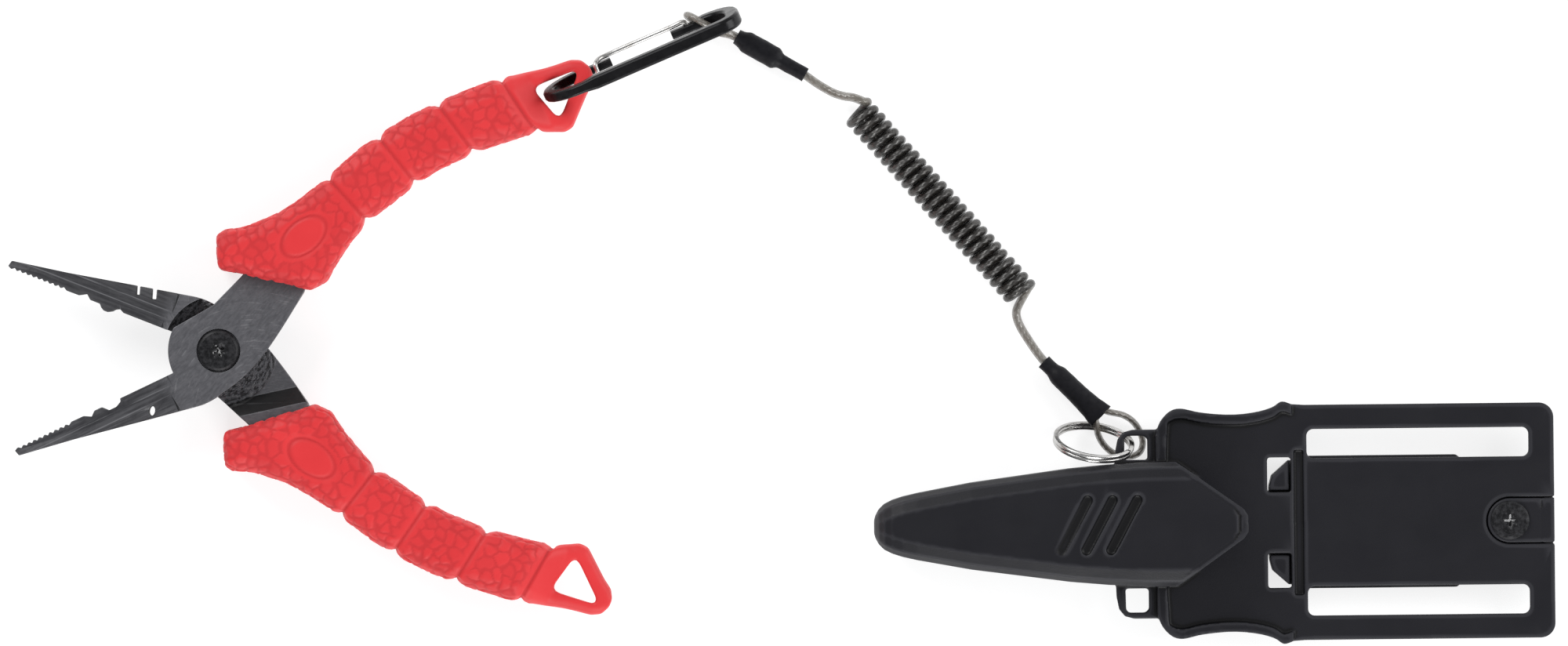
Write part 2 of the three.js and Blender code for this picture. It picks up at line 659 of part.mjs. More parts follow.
// Cross-sections of the pocket: x, half width, lowest and highest z.
const POCKET = [
  [-68.4, 1.6, 7.5, 11.5], [-68.1, 2.7, 6, 13.2], [-67.3, 4.2, 4, 15.2], [-66, 5.5, 2.2, 16.7],
  [-64, 6.5, 0.9, 17.7], [-61.5, 7.3, 0.2, 18.3], [-58, 8.1, 0, 18.8], [-45, 10.5, 0, 19.8], [-21, 13.7, 0, 21.2],
  [-12, 14.5, 0, POCKET_TOP], [-2.5, 15, PLATE_Z[0], POCKET_TOP], [24, 15.2, PLATE_Z[0], POCKET_TOP],
];
const CAVITY = [
  [-65.6, 3, 5, 14.4], [-63, 4.8, 3, 15.8], [-58, 6.1, 2, 16.7], [-45, 8.5, 2, 17.8],
  [-21, 11.7, 2, 19.2], [-14.5, 12.4, 2, 19.5], [-3.5, 13, PLATE_Z[1], 19.6],
  [30, 13.2, PLATE_Z[1], 19.6],
];
const bothSides = (stations) => stations.map(([x, half, z0, z1]) => [x, -half, half, z0, z1]);

// The pocket's pointed mouth, seen from above, moved back along X.
const lipLine = (back) => [
  [4 - back, 15.6], [20.9 - back, 3.6], [22 - back, 2], [22 - back, -2], [20.9 - back, -3.6],
  [4 - back, -15.6],
];

// Everything to the right of the pocket's pointed lip.
function lipCutter() {
  const outline = [[4, 30], ...lipLine(0), [4, -30], [60, -30], [60, 30]];
  return solid(prism(outline.reverse(), PLATE_Z[1], POCKET_TOP + 2));
}

// A shallow line across the pocket's front that leaves a bead along its mouth.
function lipGroove() {
  const outline = [...lipLine(1.7), ...lipLine(2.5).reverse()];
  return solid(prism(outline.reverse(), POCKET_TOP - 0.45, POCKET_TOP + 2));
}

// A closed loop of plastic beside the pocket, which the split ring hangs in.
function lug(sign) {
  const outer = [
    [1, 13], [1, 22.9], [-5.6, 22.9], [-7.8, 22.3], [-9.2, 20.6], [-9.8, 17.6], [-10, 13],
  ];
  const inner = [
    [-2, 15.6], [-2, 20.6], [-2.9, 21.4], [-6.8, 21.4], [-7.5, 20.7], [-7.6, 15.6],
  ];
  const shape = new THREE.Shape(outer.map(vec2));
  shape.holes.push(new THREE.Path(inner.map(vec2)));
  const loop = solid(prism(shape, PLATE_Z[1] - WALL, PLATE_Z[1]));
  return sign > 0 ? loop : loop.mirror([0, 1, 0]);
}

// Three slanting finger grooves across the pocket's front.
function frontGroove(index) {
  const slot = roundedRect(-8, 8, -1.2, 1.2, 1.2);
  return prism(slot, POCKET_TOP - 0.9, POCKET_TOP + 2)
    .rotateZ(degToRad(62))
    .translate(-14 + 6 * index, 0, 0);
}

// The clip's tab, as a D on its side: round end, straight sides, out to the plate's edge.
function tabShape(grow) {
  const r = TAB_R + grow;
  const shape = new THREE.Shape();
  shape.moveTo(PLATE_END + grow, -r);
  shape.lineTo(PLATE_END + grow, r);
  shape.lineTo(TAB_X, r);
  shape.absarc(TAB_X, 0, r, Math.PI / 2, 1.5 * Math.PI);
  shape.closePath();
  return shape;
}

function sheathBody() {
  const notch = block(93.8, 100, -TAB_R - GAP, TAB_R + GAP, 0, PLATE_Z[1] + 1);
  const strip = block(33.4, 35.8, -17.6, 17.6, PLATE_Z[1] - 0.8, PLATE_Z[1] + 1);
  let body = solid(prism(plateShape(), ...PLATE_Z))
    .add(flareRim(1))
    .add(flareRim(-1))
    .add(lug(1))
    .add(lug(-1))
    .add(tunnel(bothSides(POCKET), 4).subtract(lipCutter()))
    .subtract(tunnel(bothSides(CAVITY), 2.5))
    .subtract(solid(prism(tabShape(GAP), TAB_Z - GAP, PLATE_Z[1] + 1)))
    .subtract(solid(disc(TAB_X, 0, 1.6, 0, 12, 20)))
    .subtract(solid(notch))
    .subtract(solid(strip))
    .subtract(lipGroove());
  for (const index of [-1, 0, 1]) body = body.subtract(solid(frontGroove(index)));
  return body;
}

// The belt clip: an arm behind the plate, two lugs up into the windows, and an end that turns up
// round the plate's edge into the screwed tab.
function beltClip() {
  const wide = SLOT.y0 + 0.6;
  const narrow = SLOT.y0 - 0.6;
  const half = [
    [24.5, 0], [24.5, 5], [26, 6.8], [32.9, 6.8], [32.9, wide - 1], [34, wide], [73, wide],
    [74.5, narrow], [PLATE_END - 3, narrow], [PLATE_END, narrow - 3], [PLATE_END, 0],
  ];
  const arm = [...half, ...half.map(([x, y]) => [x, -y]).reverse().slice(1, -1)].reverse();
  const hook = [[33.5, 6], [33.5, 15.2], [32.3, 14.9], [28.1, 11.5], [27.4, 8.8], [27.4, 6]];
  const post = (sign) => {
    const points = hook.map(([x, y]) => [x, sign * y]);
    const foot = solid(prism(points, 0, CLIP_T));
    const head = points.map(([x, y]) => [Math.min(x, 32.3), sign * Math.max(Math.abs(y), 7.8)]);
    return foot.add(solid(prism([head[1], ...head.slice(3), head[0]], 1, PLATE_Z[1] - 0.8)));
  };
  const upturn = block(94.1, PLATE_END, -TAB_R, TAB_R, 0, PLATE_Z[1]);
  return solid(prism(arm, 0, CLIP_T))
    .add(post(1))
    .add(post(-1))
    .add(solid(upturn))
    .add(solid(prism(tabShape(0), TAB_Z, PLATE_Z[1])))
    .subtract(solid(block(93.2, 93.7, -TAB_R - 1, TAB_R + 1, PLATE_Z[1] - 0.35, PLATE_Z[1] + 1)))
    .subtract(solid(disc(TAB_X, 0, 1.9, TAB_Z - 1, PLATE_Z[1] + 1, 20)));
}

function clipScrew() {
  const z = PLATE_Z[1];
  const profile = [
    [0, z - 2.8], [1.3, z - 2.8], [1.3, z + GAP], [CLIP_HEAD_R, z + GAP],
    [CLIP_HEAD_R, z + 0.6], [CLIP_HEAD_R - 0.8, z + 0.95], [0, z + 1.15],
  ];
  return solid(lathe(profile, 28))
    .subtract(crossRecess(z + 1.1, 1.4, 0.55, 0.7));
}

function buildSheath() {
  const sheath = group(part, { at: [...SHEATH_AT, 0], heading: SHEATH_HEADING });
  addPiece(sheath, "sheath_body", sheathBody(), blackNylon);
  addPiece(sheath, "belt_clip", beltClip(), blackNylon);
  addPiece(group(sheath, { at: [TAB_X, 0, 0] }), "clip_screw", clipScrew(), blackSteel);
}

buildPliers();
buildCarabiner();
buildLanyard();
buildSplitRing();
buildSheath();

export default part;
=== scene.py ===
"""Spring-opening fishing pliers on a coiled lanyard, with their belt sheath.

Lengths in the constants are millimetres in the same frames as the CAD model; MM turns them into metres.
"""

import math

import bpy
import numpy as np
from mathutils import Euler, Matrix, Vector, kdtree, noise


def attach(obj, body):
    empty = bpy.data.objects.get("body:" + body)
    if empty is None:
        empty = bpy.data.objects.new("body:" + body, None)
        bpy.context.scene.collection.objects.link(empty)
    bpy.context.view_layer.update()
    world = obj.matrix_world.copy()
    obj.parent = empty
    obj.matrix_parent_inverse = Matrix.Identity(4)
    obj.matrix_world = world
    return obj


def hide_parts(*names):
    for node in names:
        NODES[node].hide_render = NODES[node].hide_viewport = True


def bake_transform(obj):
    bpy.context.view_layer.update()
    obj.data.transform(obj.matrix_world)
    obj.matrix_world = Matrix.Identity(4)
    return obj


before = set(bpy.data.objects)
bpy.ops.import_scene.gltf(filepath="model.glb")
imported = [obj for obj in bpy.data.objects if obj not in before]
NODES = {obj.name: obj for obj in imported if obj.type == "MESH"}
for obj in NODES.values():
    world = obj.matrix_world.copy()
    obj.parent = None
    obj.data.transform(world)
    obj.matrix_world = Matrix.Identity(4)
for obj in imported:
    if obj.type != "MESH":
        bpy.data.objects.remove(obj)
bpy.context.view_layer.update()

MM = 0.001
COLLECTION = bpy.context.scene.collection

# ---------------------------------------------------------------- dimensions shared with the CAD model

PIVOT = (-136.9, -6.4, 9)
FRONT_ANGLE = 25.5
REAR_ANGLE = -21.3
SPRING_R = 6.6
SPRING_WIRE_R = 0.45
SPRING_TURNS = 1.75
SPRING_START = 150

CORD_R = 1.05
LOOP_R = 0.8
COIL_START = np.array((17.0, 52.7, 4.4))
COIL_END = np.array((58.4, 6.6, 4.4))
HELIX_R = 3.3
HELIX_PITCH = 2.45
HEAD_FITTING = dict(at=(-11.5, 69.8, 2.6), heading=-29.2)
TAIL_FITTING = dict(at=(76.6, -22.1, 4.3), heading=136.1, dip=5.2)
HEAD_LOOP = [
    (1.6, 0.2, 0.85), (-1.8, 0, 1.2), (-4.9, -0.8, 3.2), (-7.8, -1.1, 4.45),
    (-9.9, -1.1, 4.6), (-11.9, -1.1, 3.7), (-13.1, -1.3, 1.6), (-12.7, -1.6, -0.7), (-11, -1.8, -1.7),
    (-8.3, -1.8, -1.75), (-4.4, -1.4, -1.5), (-1.8, -0.6, -1.1), (1.6, -0.2, -0.85),
]  # fmt: skip
TAIL_LOOP = [
    (75.6, -19.95, 4.1), (76.6, -20.4, 4.2), (77.7, -20.9, 4.3), (78.7, -21.25, 4.2),
    (80.2, -21.55, 3.85), (82.4, -22.1, 3.1), (84.7, -23.6, 2), (86.4, -26.1, 1.1),
    (87.1, -28.8, 0.85), (86.4, -31, 0.85), (84.6, -32, 0.85), (82, -31.9, 0.85),
    (79.9, -31.2, 0.9), (78.2, -29.9, 1.2), (76.9, -28.2, 2), (76.15, -26.5, 3.2),
    (75.95, -25.3, 3.9), (75.85, -24.3, 4.15), (75.5, -23.2, 4.25), (75, -22.1, 4.25),
    (74.4, -21.2, 4.1),
]  # fmt: skip
HEAD_SLEEVE = [
    (0, 1.9, 2.45), (1.5, 2.1, 2.45), (2.6, 2.7, 2.45), (10.9, 2.75, 2.45), (12, 1.85, 1.85),
    (19.1, 1.75, 1.75),
]  # fmt: skip
TAIL_SLEEVE = [
    (-0.4, 3.5, 1.65), (2.6, 2.9, 1.9), (7, 2.6, 2.3), (14.2, 2.5, 2.3), (16, 1.85, 1.85),
    (18.8, 1.85, 1.85),
]  # fmt: skip
# The straight ends of the cord, from inside one fitting to the coil, and from the coil into the other.
HEAD_LEAD = [
    (-1, 63.9, 2.6), (2.9, 61.7, 2.6), (5.2, 60.4, 2.6), (7.6, 58.7, 2.6), (10, 57.2, 2.9),
    (12.3, 56, 3.9), (14.6, 55.3, 5.2), (17, 54.9, 6.2),
]  # fmt: skip
TAIL_LEAD = [
    (56.6, 3.8, 1.08), (56.4, 2.5, 1.05), (56.7, 1, 1.05), (57.6, -1, 1.15), (59.2, -3.6, 1.6),
    (61, -6.3, 2.2), (62.8, -8.6, 2.6), (64.7, -10.6, 2.8), (66.8, -12.7, 3),
]  # fmt: skip

RING = dict(at=(75, -28.6, 9.8), heading=-8, tilt=-65.5)
RING_R = 9.3
CARABINER = dict(at=(-33.5, 63.8, 18.45), heading=23.4, tilt=102.7)
CARABINER_DEPTH = 15
GATE_PIVOT_X = 12.5
GATE_WIRE_R = 0.6
CLIP_SCREW = (175.9, -47.5)


def place(at, heading=0.0, dip=0.0, tilt=0.0):
    """From a piece's own frame in millimetres to the part's frame in metres."""
    turn = Euler((math.radians(tilt), math.radians(dip), math.radians(heading))).to_matrix()
    return Matrix.Translation(Vector(at) * MM) @ turn.to_4x4() @ Matrix.Scale(MM, 4)


FRONT = place(PIVOT, FRONT_ANGLE)
REAR = place(PIVOT, REAR_ANGLE) @ Matrix.Rotation(math.pi, 4, "X")
SCENE_MM = Matrix.Scale(MM, 4)


# ---------------------------------------------------------------- camera


def make_camera():
    """Looks straight down, with +Y at the top of the picture, through a long lens."""
    width = 0.38
    data = bpy.data.cameras.new("camera")
    data.lens = 360
    data.sensor_width = 36
    camera = bpy.data.objects.new("camera", data)
    camera.location = (0, 0.0003, width * data.lens / data.sensor_width + 0.008)
    COLLECTION.objects.link(camera)
    bpy.context.scene.camera = camera


make_camera()
bpy.context.scene.view_settings.view_transform = "Standard"


# ---------------------------------------------------------------- node materials


class Graph:
    """A material's node tree, built by naming nodes and what feeds each socket."""

    def __init__(self, name, **constants):
        self.material = bpy.data.materials.new(name)
        self.material.use_nodes = True
        self.tree = self.material.node_tree
        self.shader = self.tree.nodes["Principled BSDF"]
        self.feed(self.shader, constants)

    def feed(self, node, inputs):
        for key, value in inputs.items():
            socket = node.inputs[key if isinstance(key, int) else key.replace("_", " ")]
            if isinstance(value, bpy.types.NodeSocket):
                self.tree.links.new(value, socket)
            else:
                socket.default_value = value

    def add(self, kind, props=None, **inputs):
        node = self.tree.nodes.new("ShaderNode" + kind)
        for key, value in (props or {}).items():
            setattr(node, key, value)
        self.feed(node, inputs)
        return node

    def math(self, operation, a, b=0.0, clamp=False):
        node = self.add("Math", {"operation": operation, "use_clamp": clamp})
        self.feed(node, {0: a, 1: b})
        return node.outputs[0]

    def coords(self, scale=(1, 1, 1), heading=0.0):
        """Object coordinates turned so that X runs along the heading, in units of 1 / scale metres."""
        where = self.add("TexCoord").outputs["Object"]
        turned = self.add("VectorRotate", {"rotation_type": "Z_AXIS"}, Vector=where)
        turned.inputs["Angle"].default_value = -math.radians(heading)
        node = self.add("Mapping", Vector=turned.outputs[0], Scale=scale)
        return node.outputs[0]

    def own_frame(self, heading, flipped=False):
        """X, Y and Z in millimetres in the frame of one half of the pliers."""
        where = self.add("TexCoord").outputs["Object"]
        turned = self.add("VectorRotate", {"rotation_type": "Z_AXIS"}, Vector=where)
        turned.inputs["Center"].default_value = [v * MM for v in PIVOT]
        turned.inputs["Angle"].default_value = -math.radians(heading)
        sign = (1, -1, -1) if flipped else (1, 1, 1)
        node = self.add("Mapping", Vector=turned.outputs[0])
        node.inputs["Scale"].default_value = [v / MM for v in sign]
        node.inputs["Location"].default_value = [-v * turn for v, turn in zip(PIVOT, sign)]
        return self.add("SeparateXYZ", Vector=node.outputs[0]).outputs

    def radius(self, centre):
        """Distance from an upright axis through the centre, which is in millimetres."""
        where = self.add("SeparateXYZ", Vector=self.add("TexCoord").outputs["Object"])
        dx = self.math("SUBTRACT", where.outputs[0], centre[0] * MM)
        dy = self.math("SUBTRACT", where.outputs[1], centre[1] * MM)
        square = self.math("ADD", self.math("MULTIPLY", dx, dx), self.math("MULTIPLY", dy, dy))
        return self.math("SQRT", square), self.math("ARCTAN2", dy, dx), where.outputs[2]

    def noise(self, vector, scale=1.0, detail=3.0, roughness=0.55):
        node = self.add("TexNoise", Vector=vector, Scale=scale, Detail=detail, Roughness=roughness)
        return node.outputs[0]

    def ramp(self, value, low, high, out_low=0.0, out_high=1.0):
        node = self.add("MapRange", {"interpolation_type": "SMOOTHSTEP"}, Value=value)
        self.feed(node, {"From Min": low, "From Max": high, "To Min": out_low, "To Max": out_high})
        return node.outputs[0]

    def blend(self, factor, first, second):
        node = self.add("Mix", {"data_type": "RGBA"})
        self.feed(node, {0: factor, 6: first, 7: second})
        return node.outputs[2]

    def bump(self, height, distance, strength=1.0, normal=None):
        node = self.add("Bump", Height=height, Distance=distance, Strength=strength)
        if normal is not None:
            self.feed(node, {"Normal": normal})
        return node.outputs[0]

    def edges(self, low=0.53, high=0.6):
        """1 on convex edges and 0 elsewhere."""
        return self.ramp(self.add("NewGeometry").outputs["Pointiness"], low, high)


def rgb(r, g, b):
    return (r, g, b, 1.0)


def coated_steel(name, heading, rear=False):
    """Dark grey coated steel: brushed, blacker on its jaws, with painted shade on its sloped faces and
    lighter edges and jaw creases that are partly wear and partly painted highlight.
    """
    g = Graph(name, Metallic=0.35)
    strokes = g.noise(g.coords((500, 1700, 1700), heading + 20), detail=5, roughness=0.65)
    streaks = g.noise(g.coords((60, 1100, 1100), heading), detail=4, roughness=0.65)
    mottle = g.noise(g.coords((420, 420, 420)), detail=5, roughness=0.75)
    dark = g.blend(g.ramp(strokes, 0.35, 0.65), rgb(0.074, 0.074, 0.082), rgb(0.1, 0.1, 0.11))
    tone = g.blend(g.ramp(mottle, 0.4, 0.75, 0, 0.6), dark, rgb(0.13, 0.128, 0.138))
    x, y, _ = g.own_frame(heading, rear)
    scratches = g.math("MULTIPLY", whorls(g, x, y), g.ramp(mottle, 0.42, 0.6, 0.1, 0.75))
    tone = g.blend(scratches, tone, rgb(0.17, 0.17, 0.18))
    on_jaw = g.ramp(x, -12.6, -17.4)
    streak = 0.05 if rear else 0.072
    jaw = g.blend(g.ramp(streaks, 0.35, 0.68), rgb(0.015, 0.015, 0.018), rgb(streak, streak, streak * 1.08))
    tone = g.blend(g.math("MULTIPLY", on_jaw, 0.85), tone, jaw)
    # Thin lighter lines along the jaw's two creases: partly edge wear, partly a painted highlight where the
    # crease would catch the light.
    for line, width in ((-4.6, 0.26), (-2.6, 0.2)):
        away = g.math("ABSOLUTE", g.math("SUBTRACT", y, line))
        crease = g.math("MULTIPLY", g.ramp(away, width, 0.02), g.ramp(streaks, 0.35, 0.55, 0.1, 0.75))
        tone = g.blend(g.math("MULTIPLY", crease, on_jaw), tone, rgb(0.17, 0.17, 0.18))
    # Faces tilted between level and upright, as on the joggle, are painted near-black: painted shade.
    normal_z = g.add("SeparateXYZ", Vector=g.add("NewGeometry").outputs["True Normal"]).outputs[2]
    level = g.math("ABSOLUTE", normal_z)
    sloped = g.math("MULTIPLY", g.ramp(level, 0.9, 0.8), g.ramp(level, 0.3, 0.45))
    tone = g.blend(sloped, tone, rgb(0.003, 0.003, 0.0035))
    # Convex edges are painted lighter: partly wear, partly a painted highlight.
    edge_wear_and_highlight = g.math("MULTIPLY", g.edges(0.53, 0.62), g.ramp(mottle, 0.35, 0.6, 0.25, 0.85))
    colour = g.blend(edge_wear_and_highlight, tone, rgb(0.3, 0.3, 0.31))
    rough = g.ramp(strokes, 0.25, 0.8, 0.44, 0.58)
    normal = g.bump(strokes, 0.00005, 0.4)
    if rear:
        normal, colour = lap_arcs(g, normal, colour)
    g.feed(g.shader, {"Base Color": colour, "Roughness": rough, "Normal": normal})
    return g.material


def whorls(g, x, y):
    """Faint scratches left by a polishing wheel: arcs of a wide circle, 0 to 1."""
    dx = g.math("SUBTRACT", x, 2.0)
    dy = g.math("SUBTRACT", y, -16.0)
    away = g.math("SQRT", g.math("ADD", g.math("MULTIPLY", dx, dx), g.math("MULTIPLY", dy, dy)))
    turn = g.math("ARCTAN2", dy, dx)
    where = g.add("CombineXYZ", X=g.math("MULTIPLY", away, 1.9), Y=g.math("MULTIPLY", turn, 3.0))
    return g.ramp(g.noise(where.outputs[0], detail=3), 0.56, 0.66)


def lap_arcs(g, normal, colour):
    """Scalloped tool marks round the pivot, on the lap's floor and its wall; their darker half is also
    painted shade in the recess.
    """
    radius, turn, height = g.radius(PIVOT)
    stretch = g.add("CombineXYZ", X=g.math("MULTIPLY", radius, 1500.0), Y=g.math("MULTIPLY", turn, 8.0))
    marks = g.noise(stretch.outputs[0], detail=3)
    near = g.ramp(radius, 0.0142, 0.0136)
    mask = g.math("MULTIPLY", near, g.ramp(height, 0.01215, 0.0119))
    rough = g.bump(g.math("MULTIPLY", marks, mask), 0.0006, 0.9, normal)
    pale = g.math("MULTIPLY", g.ramp(marks, 0.53, 0.7), mask)
    # The darker marks are painted near-black: partly tool marks, partly painted shade in the lap's recess.
    painted_shade = g.math("MULTIPLY", g.ramp(marks, 0.5, 0.42), mask)
    colour = g.blend(g.math("MULTIPLY", pale, 0.45), colour, rgb(0.2, 0.2, 0.2))
    return rough, g.blend(g.math("MULTIPLY", painted_shade, 0.85), colour, rgb(0.012, 0.012, 0.013))


def bright_steel(name, tone=0.62, rough=0.22, drawn=0.3):
    """Drawn or polished steel; drawn says how deep its streaks are."""
    g = Graph(name, Metallic=1.0)
    streaks = g.noise(g.coords((700, 700, 3000)), detail=4)
    stain = g.noise(g.coords((200, 200, 200)), detail=4, roughness=0.65)
    low = rgb(tone * 0.62, tone * 0.6, tone * 0.57)
    colour = g.blend(g.ramp(stain, 0.3, 0.62), low, rgb(tone, tone * 0.99, tone * 0.97))
    g.feed(g.shader, {"Base Color": colour, "Roughness": g.ramp(streaks, 0.3, 0.7, rough, rough + 0.16)})
    g.feed(g.shader, {"Normal": g.bump(streaks, 0.00002, drawn)})
    return g.material


def black_metal(name, rough=0.3, edge_wear_and_highlight=0.12):
    """Black oxide or anodised metal, shiny, a little lighter along its edges, partly from wear and partly
    as a painted highlight.
    """
    g = Graph(name, Metallic=0.4)
    g.shader.inputs["Specular IOR Level"].default_value = 0.25
    cloud = g.noise(g.coords((420, 420, 420)), detail=5, roughness=0.65)
    base = g.blend(cloud, rgb(0.004, 0.004, 0.0045), rgb(0.012, 0.012, 0.0135))
    # Convex edges painted lighter: partly wear, partly a painted highlight.
    colour = g.blend(g.math("MULTIPLY", g.edges(), g.ramp(cloud, 0.3, 0.6)), base, rgb(edge_wear_and_highlight, edge_wear_and_highlight, edge_wear_and_highlight))
    g.feed(g.shader, {"Base Color": colour, "Roughness": g.ramp(cloud, 0.2, 0.8, rough, rough + 0.18)})
    g.feed(g.shader, {"Normal": g.bump(cloud, 0.00005, 0.25)})
    return g.material


def screw_black(name, centre, top):
    """Black oxide, with painted glints: bright specks at the bottom of the cross recess."""
    g = Graph(name, Metallic=0.3)
    g.shader.inputs["Specular IOR Level"].default_value = 0.3
    cloud = g.noise(g.coords((900, 900, 900)), detail=5, roughness=0.7)
    base = g.blend(g.ramp(cloud, 0.35, 0.7), rgb(0.004, 0.004, 0.005), rgb(0.03, 0.03, 0.033))
    radius, turn, height = g.radius(centre)
    low = g.ramp(height, (top - 0.35) * MM, (top - 0.5) * MM)
    middle = g.math("MULTIPLY", low, g.ramp(radius, 0.0017, 0.0014))
    glint = g.ramp(g.noise(g.coords((1300, 1300, 1300)), detail=2), 0.46, 0.54)
    ring = g.math("MULTIPLY", g.ramp(radius, 0.0023, 0.0016), g.ramp(cloud, 0.52, 0.6, 0, 0.35))
    colour = g.blend(ring, base, rgb(0.16, 0.16, 0.16))
    # Bright specks in the recess: a painted glint.
    colour = g.blend(g.math("MULTIPLY", middle, glint), colour, rgb(0.75, 0.75, 0.75))
    g.feed(g.shader, {"Base Color": colour, "Roughness": g.ramp(cloud, 0.2, 0.8, 0.36, 0.56)})
    g.feed(g.shader, {"Normal": g.bump(cloud, 0.0001, 0.4)})
    return g.material


def grip_rubber():
    """Red dipped rubber: matt in its grooves, rubbed smoother on the raised cells, and painted darker in
    its valleys as shade.
    """
    g = Graph("grip_rubber")
    g.shader.inputs["Specular IOR Level"].default_value = 0.4
    g.shader.inputs["Sheen Weight"].default_value = 0.1
    g.shader.inputs["Sheen Roughness"].default_value = 0.5
    relief = g.add("Attribute", {"attribute_name": "relief"}).outputs["Fac"]
    cloud = g.noise(g.coords((70, 70, 70)), detail=4)
    grain = g.noise(g.coords((3200, 3200, 3200)), detail=3)
    body = g.blend(cloud, rgb(0.6, 0.016, 0.02), rgb(0.73, 0.032, 0.036))
    # Valleys between cells, the grooves and the pad's rim are painted darker: painted shade.
    colour = g.blend(g.ramp(relief, 0.0, 1.0, 0.4, 0), body, rgb(0.34, 0.006, 0.01))
    rough = g.math("ADD", g.ramp(relief, 0, 1, 0.66, 0.5), g.math("MULTIPLY", grain, 0.08))
    g.feed(g.shader, {"Base Color": colour, "Roughness": rough})
    g.feed(g.shader, {"Normal": g.bump(grain, 0.00008, 0.35)})
    return g.material


def moulded_nylon(name):
    """Charcoal black nylon with a fine spark-eroded grain, painted darker in its hollows as shade and
    lighter on its edges as a highlight.
    """
    g = Graph(name)
    g.shader.inputs["Specular IOR Level"].default_value = 0.26
    grain = g.noise(g.coords((2600, 2600, 2600)), detail=3, roughness=0.6)
    cloud = g.noise(g.coords((45, 45, 45)), detail=4)
    flow = g.noise(g.coords((30, 240, 240), 12), detail=3)
    base = g.blend(cloud, rgb(0.0052, 0.0052, 0.0078), rgb(0.0086, 0.0086, 0.012))
    depth = g.add("Attribute", {"attribute_name": "cavity"}).outputs["Fac"]
    # Hollows are painted near-black: painted shade.
    base = g.blend(g.ramp(depth, 0.01, 0.075, 0, 0.85), base, rgb(0.0006, 0.0006, 0.0009))
    # Raised edges are painted lighter: painted highlight.
    colour = g.blend(g.ramp(depth, -0.015, -0.08, 0, 0.55), base, rgb(0.034, 0.034, 0.04))
    rough = g.math("ADD", g.ramp(cloud, 0.3, 0.7, 0.42, 0.52), g.math("MULTIPLY", flow, 0.08))
    g.feed(g.shader, {"Base Color": colour, "Roughness": rough})
    g.feed(g.shader, {"Normal": g.bump(grain, 0.00007, 0.5)})
    return g.material


def shrink_tube():
    """Matt black heat-shrink with fine wrinkles round the cord."""
    g = Graph("shrink_tube")
    g.shader.inputs["Specular IOR Level"].default_value = 0.22
    wrinkle = g.noise(g.coords((900, 900, 900)), detail=4, roughness=0.6)
    colour = g.blend(wrinkle, rgb(0.002, 0.002, 0.0035), rgb(0.007, 0.007, 0.01))
    g.feed(g.shader, {"Base Color": colour, "Roughness": g.ramp(wrinkle, 0.3, 0.7, 0.42, 0.6)})
    g.feed(g.shader, {"Normal": g.bump(wrinkle, 0.00012, 0.6)})
    return g.material


def smoked_vinyl():
    """Smoky clear vinyl, painted darker and more opaque where the cord is wound, as shade between the
    turns: the wire inside shows through it.
    """
    g = Graph("smoked_vinyl", IOR=1.32)
    haze = g.noise(g.coords((600, 600, 600)), detail=4)
    wound = g.add("Attribute", {"attribute_name": "wound"}).outputs["Fac"]
    clear = g.blend(haze, rgb(0.13, 0.115, 0.095), rgb(0.24, 0.215, 0.18))
    # The coiled part's colour is painted shade between the turns.
    painted_shade = g.blend(haze, rgb(0.002, 0.0016, 0.0013), rgb(0.022, 0.019, 0.016))
    g.feed(g.shader, {"Base Color": g.blend(wound, clear, painted_shade)})
    g.feed(g.shader, {"Roughness": g.ramp(haze, 0.3, 0.7, 0.2, 0.36)})
    clarity = g.ramp(haze, 0.3, 0.7, 0.58, 0.46)
    # The coiled part is also made more opaque, which darkens it as painted shade.
    g.feed(g.shader, {"Alpha": g.math("ADD", clarity, g.math("MULTIPLY", wound, 0.14))})
    g.feed(g.shader, {"Normal": g.bump(haze, 0.00006, 0.3)})
    return g.material


STEEL_FRONT = coated_steel("coated_steel_front", FRONT_ANGLE)
STEEL_REAR = coated_steel("coated_steel_rear", REAR_ANGLE, rear=True)
BRIGHT = bright_steel("bright_steel")
RING_STEEL = bright_steel("ring_steel", 0.6, 0.14, 0.05)
CABLE_STEEL = bright_steel("cable_steel", 0.68, 0.32)
PIVOT_BLACK = screw_black("pivot_oxide", PIVOT, PIVOT[2] + 4.75)
CLIP_BLACK = screw_black("clip_oxide", CLIP_SCREW, 10.35)
BLACK_ALUMINIUM = black_metal("black_anodised", 0.2, 0.1)
RUBBER = grip_rubber()
NYLON = moulded_nylon("moulded_nylon")
SHRINK = shrink_tube()
VINYL = smoked_vinyl()


# ---------------------------------------------------------------- geometry helpers


def new_piece(name, vertices, faces, matrix, material):
    """A smooth-shaded mesh from points in a piece's own frame."""
    mesh = bpy.data.meshes.new(name)
    mesh.from_pydata([tuple(v) for v in np.asarray(vertices, float)], [], faces)
    mesh.transform(matrix)
    mesh.materials.append(material)
    mesh.shade_smooth()
    piece = bpy.data.objects.new(name, mesh)
    COLLECTION.objects.link(piece)
    return piece


def smoothstep(low, high, value):
    t = np.clip((value - low) / (high - low), 0, 1)
    return t * t * (3 - 2 * t)


